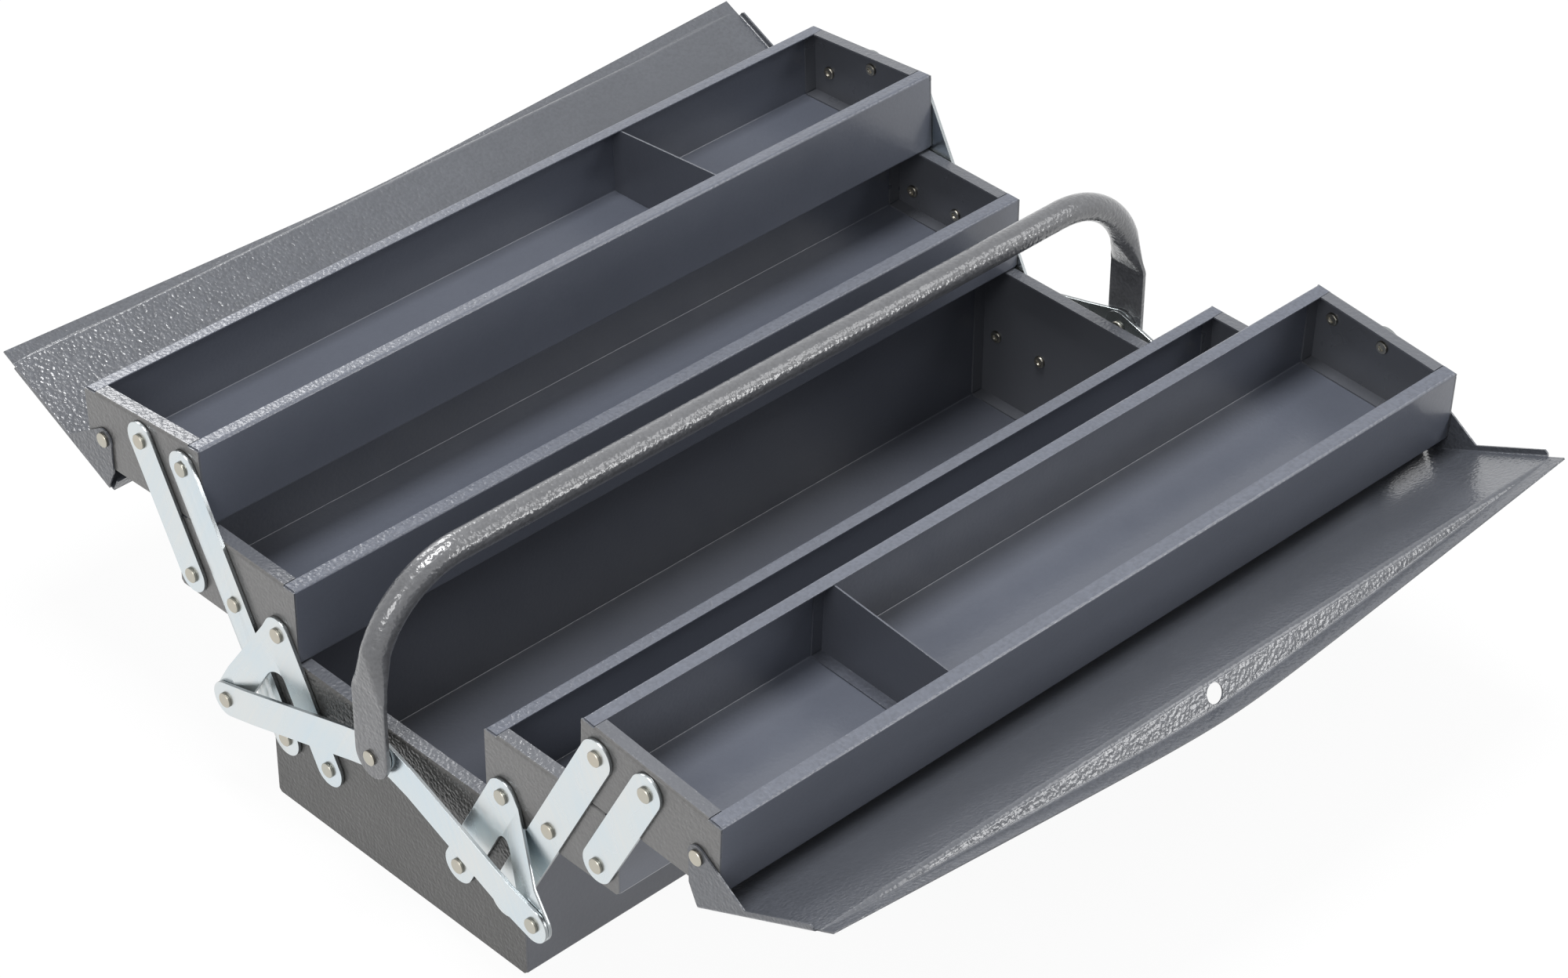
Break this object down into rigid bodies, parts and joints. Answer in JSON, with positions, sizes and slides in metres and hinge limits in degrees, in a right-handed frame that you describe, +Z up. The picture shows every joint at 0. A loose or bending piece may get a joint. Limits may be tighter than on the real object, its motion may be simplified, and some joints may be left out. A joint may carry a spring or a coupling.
{
  "type": "cantilever tool box",
  "caption": "Folded steel tool box whose paired trays spread on pivoting links, with hinged lids on the upper trays and a carrying handle on levers.",
  "frame": {"origin": "on the floor under the middle of the case", "axes": "+X along the box, +Y across it toward the rear trays, +Z up"},
  "size_m": [0.5618, 0.6512, 0.2],
  "materials": {
    "trays": "satin slate grey paint, smooth",
    "ends": "slate grey hammer paint",
    "lids": "slate grey hammer paint, smoother in the middle",
    "handle": "slate grey hammer paint with long soft highlights",
    "zinc": "bright zinc plate, faint streaks",
    "rivets": "bright nickel plate"
  },
  "bodies": {
    "case": {"case_tray": "trays", "case_left_end": "ends", "case_right_end": "ends", "case_rivets": "rivets"},
    "front_lower": {"front_lower_tray": "trays", "front_lower_left_end": "ends", "front_lower_right_end": "ends", "front_lower_rivets": "rivets"},
    "front_upper": {"front_upper_tray": "trays", "front_upper_left_end": "ends", "front_upper_right_end": "ends", "front_divider": "trays", "front_upper_rivets": "rivets"},
    "front_lid_pins": {"front_lid_rivets": "rivets"},
    "front_lid": {"front_lid": "lids"},
    "front_levers": {"front_left_lever": "zinc", "front_right_lever": "zinc", "front_elbow_rivets": "rivets"},
    "front_long_links": {"front_left_long_link": "zinc", "front_right_long_link": "zinc"},
    "front_short_links": {"front_left_short_link": "zinc", "front_right_short_link": "zinc"},
    "front_bars": {"front_left_bar": "zinc", "front_right_bar": "zinc"},
    "rear_lower": {"rear_lower_tray": "trays", "rear_lower_left_end": "ends", "rear_lower_right_end": "ends", "rear_lower_rivets": "rivets"},
    "rear_upper": {"rear_upper_tray": "trays", "rear_upper_left_end": "ends", "rear_upper_right_end": "ends", "rear_divider": "trays", "rear_upper_rivets": "rivets"},
    "rear_lid_pins": {"rear_lid_rivets": "rivets"},
    "rear_lid": {"rear_lid": "lids"},
    "rear_levers": {"rear_left_lever": "zinc", "rear_right_lever": "zinc", "rear_elbow_rivets": "rivets"},
    "rear_long_links": {"rear_left_long_link": "zinc", "rear_right_long_link": "zinc"},
    "rear_short_links": {"rear_left_short_link": "zinc", "rear_right_short_link": "zinc"},
    "rear_bars": {"rear_left_bar": "zinc", "rear_right_bar": "zinc"},
    "handle_pins": {"handle_rivets": "rivets"},
    "handle": {"handle": "handle"}
  },
  "joints": [
    {"name": "fold", "type": "hinge", "parent": "case", "child": "front_levers", "pos_m": [0, -0.05151, 0.04449], "axis": [-1, 0, 0], "range_deg": [0, 56]},
    {"name": "front_lower_tray_turn", "type": "hinge", "parent": "front_levers", "child": "front_lower", "pos_m": [0, -0.08756, 0.1123], "axis": [-1, 0, 0], "range_deg": [-56, 0]},
    {"name": "front_long_link_turn", "type": "hinge", "parent": "case", "child": "front_long_links", "pos_m": [0, -0.08651, 0.04449], "axis": [-1, 0, 0], "range_deg": [0, 56]},
    {"name": "front_upper_tray_turn", "type": "hinge", "parent": "front_long_links", "child": "front_upper", "pos_m": [0, -0.15862, 0.18011], "axis": [-1, 0, 0], "range_deg": [-53.5, 0]},
    {"name": "front_short_link_turn", "type": "hinge", "parent": "front_lower", "child": "front_short_links", "pos_m": [0, -0.15756, 0.1123], "axis": [-1, 0, 0], "range_deg": [0, 56]},
    {"name": "front_lid_lift", "type": "hinge", "parent": "front_upper", "child": "front_lid_pins", "pos_m": [0, -0.22799, 0.16176], "axis": [-1, 0, 0], "range_deg": [0, 49]},
    {"name": "front_lid", "type": "hinge", "parent": "front_lid_pins", "child": "front_lid", "pos_m": [0, -0.22799, 0.16176], "axis": [-1, 0, 0], "range_deg": [0, 100.55]},
    {"name": "front_bar_turn", "type": "hinge", "parent": "front_levers", "child": "front_bars", "pos_m": [0, -0.12079, 0.05658], "axis": [-1, 0, 0], "range_deg": [-89.56, 0]},
    {"name": "rear_lever_turn", "type": "hinge", "parent": "case", "child": "rear_levers", "pos_m": [0, 0.05151, 0.04449], "axis": [1, 0, 0], "range_deg": [0, 56]},
    {"name": "rear_lower_tray_turn", "type": "hinge", "parent": "rear_levers", "child": "rear_lower", "pos_m": [0, 0.08756, 0.1123], "axis": [1, 0, 0], "range_deg": [-56, 0]},
    {"name": "rear_long_link_turn", "type": "hinge", "parent": "case", "child": "rear_long_links", "pos_m": [0, 0.08651, 0.04449], "axis": [1, 0, 0], "range_deg": [0, 56]},
    {"name": "rear_upper_tray_turn", "type": "hinge", "parent": "rear_long_links", "child": "rear_upper", "pos_m": [0, 0.15862, 0.18011], "axis": [1, 0, 0], "range_deg": [-53.5, 0]},
    {"name": "rear_short_link_turn", "type": "hinge", "parent": "rear_lower", "child": "rear_short_links", "pos_m": [0, 0.15756, 0.1123], "axis": [1, 0, 0], "range_deg": [0, 56]},
    {"name": "rear_lid_lift", "type": "hinge", "parent": "rear_upper", "child": "rear_lid_pins", "pos_m": [0, 0.22799, 0.16176], "axis": [1, 0, 0], "range_deg": [0, 49]},
    {"name": "rear_lid", "type": "hinge", "parent": "rear_lid_pins", "child": "rear_lid", "pos_m": [0, 0.22799, 0.16176], "axis": [1, 0, 0], "range_deg": [0, 100.55]},
    {"name": "rear_bar_turn", "type": "hinge", "parent": "rear_levers", "child": "rear_bars", "pos_m": [0, 0.12079, 0.05658], "axis": [1, 0, 0], "range_deg": [-89.56, 0]},
    {"name": "handle_pin_turn", "type": "hinge", "parent": "front_bars", "child": "handle_pins", "pos_m": [0, 0, 0.0909], "axis": [-1, 0, 0], "range_deg": [0, 33.56]},
    {"name": "handle_swing", "type": "hinge", "parent": "handle_pins", "child": "handle", "pos_m": [0, 0, 0.0909], "axis": [-1, 0, 0], "range_deg": [-46, 46]}
  ],
  "couplings": [
    {"joint": "front_lower_tray_turn", "follows": "fold", "ratio": -1},
    {"joint": "front_long_link_turn", "follows": "fold", "ratio": 1},
    {"joint": "front_upper_tray_turn", "follows": "fold", "ratio": -0.95536},
    {"joint": "front_short_link_turn", "follows": "fold", "ratio": 1},
    {"joint": "front_lid_lift", "follows": "fold", "ratio": 0.875},
    {"joint": "front_bar_turn", "follows": "fold", "ratio": -1.5993},
    {"joint": "rear_lever_turn", "follows": "fold", "ratio": 1},
    {"joint": "rear_lower_tray_turn", "follows": "fold", "ratio": -1},
    {"joint": "rear_long_link_turn", "follows": "fold", "ratio": 1},
    {"joint": "rear_upper_tray_turn", "follows": "fold", "ratio": -0.95536},
    {"joint": "rear_short_link_turn", "follows": "fold", "ratio": 1},
    {"joint": "rear_lid_lift", "follows": "fold", "ratio": 0.875},
    {"joint": "rear_bar_turn", "follows": "fold", "ratio": -1.5993},
    {"joint": "handle_pin_turn", "follows": "fold", "ratio": 0.59933}
  ]
}
